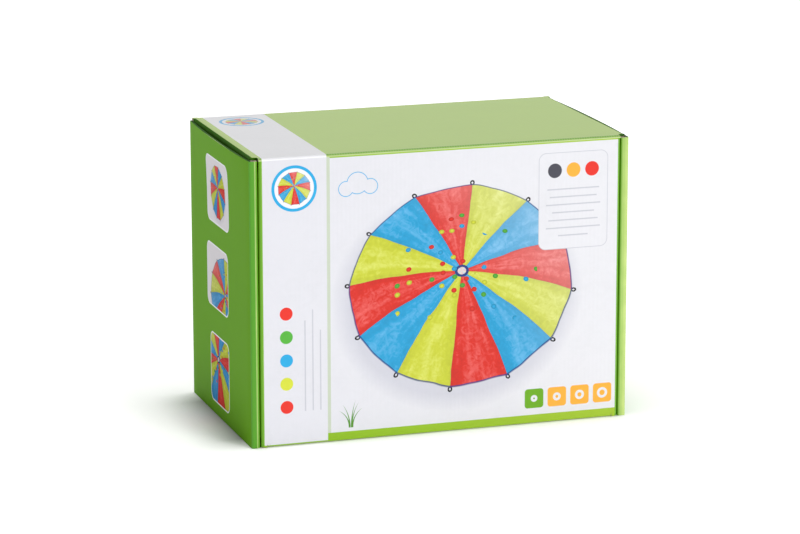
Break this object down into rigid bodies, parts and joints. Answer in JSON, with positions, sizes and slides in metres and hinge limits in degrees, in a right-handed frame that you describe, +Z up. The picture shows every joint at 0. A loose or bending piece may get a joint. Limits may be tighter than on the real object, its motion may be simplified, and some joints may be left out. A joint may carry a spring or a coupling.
{
  "type": "toy parachute",
  "caption": "Boxed play parachute: a roll-end carton with an opening lid, holding the folded parachute with handles and straps, play balls and a leaflet.",
  "frame": {"origin": "on the ground under the middle of the closed carton", "axes": "+X to the right along the carton's width, +Y to its back (the lid faces -Y), +Z up"},
  "size_m": [0.3, 0.172, 0.221],
  "materials": {
    "board_printed": "satin",
    "board_plain": "matte",
    "cloth_red": "matte",
    "cloth_yellow": "matte",
    "cloth_blue": "matte",
    "net": "matte",
    "webbing": "matte",
    "paper": "matte",
    "ball_blue": "satin",
    "ball_green": "satin",
    "ball_red": "satin",
    "ball_yellow": "satin"
  },
  "bodies": {
    "tray": {"back_panel": "board_printed", "top_wall": "board_printed", "bottom_wall": "board_printed", "side_wall_left": "board_printed", "side_roll_left": "board_printed", "side_return_left": "board_plain", "top_dust_flap_left": "board_printed", "bottom_dust_flap_left": "board_printed", "side_wall_right": "board_printed", "side_roll_right": "board_printed", "side_return_right": "board_plain", "top_dust_flap_right": "board_printed", "bottom_dust_flap_right": "board_printed", "gore_01": "cloth_red", "gore_02": "cloth_yellow", "gore_03": "cloth_blue", "gore_04": "cloth_red", "gore_05": "cloth_yellow", "gore_06": "cloth_blue", "gore_07": "cloth_red", "gore_08": "cloth_yellow", "gore_09": "cloth_blue", "gore_10": "cloth_red", "gore_11": "cloth_yellow", "gore_12": "cloth_blue", "centre_net": "net", "strap_left": "webbing", "strap_right": "webbing", "handle_01": "webbing", "handle_02": "webbing", "handle_03": "webbing", "handle_04": "webbing", "handle_05": "webbing", "handle_06": "webbing", "handle_07": "webbing", "handle_08": "webbing", "handle_09": "webbing", "handle_10": "webbing", "handle_11": "webbing", "handle_12": "webbing", "ball_blue_1": "ball_blue", "ball_blue_2": "ball_blue", "ball_blue_3": "ball_blue", "ball_green_1": "ball_green", "ball_green_2": "ball_green", "ball_red_1": "ball_red", "ball_red_2": "ball_red", "ball_red_3": "ball_red", "ball_yellow_1": "ball_yellow", "ball_yellow_2": "ball_yellow", "ball_yellow_3": "ball_yellow", "leaflet": "paper"},
    "lid": {"lid_panel": "board_printed"},
    "tuck_flap": {"lid_tuck_flap": "board_printed"},
    "ear_left": {"lid_ear_left": "board_printed"},
    "ear_right": {"lid_ear_right": "board_printed"}
  },
  "joints": [
    {"name": "lid_hinge", "type": "hinge", "parent": "tray", "child": "lid", "pos_m": [0, -0.086, 0.221], "axis": [-1, 0, 0], "range_deg": [0, 130]},
    {"name": "tuck_hinge", "type": "hinge", "parent": "lid", "child": "tuck_flap", "pos_m": [0, -0.0843, 0.002], "axis": [-1, 0, 0], "range_deg": [0, 65]},
    {"name": "ear_hinge_left", "type": "hinge", "parent": "lid", "child": "ear_left", "pos_m": [-0.141, -0.0843, 0.1105], "axis": [0, 0, -1], "range_deg": [0, 60]},
    {"name": "ear_hinge_right", "type": "hinge", "parent": "lid", "child": "ear_right", "pos_m": [0.141, -0.0843, 0.1105], "axis": [0, 0, 1], "range_deg": [0, 60]}
  ],
  "couplings": [
    {"joint": "tuck_hinge", "follows": "lid_hinge", "ratio": 0.5}
  ]
}
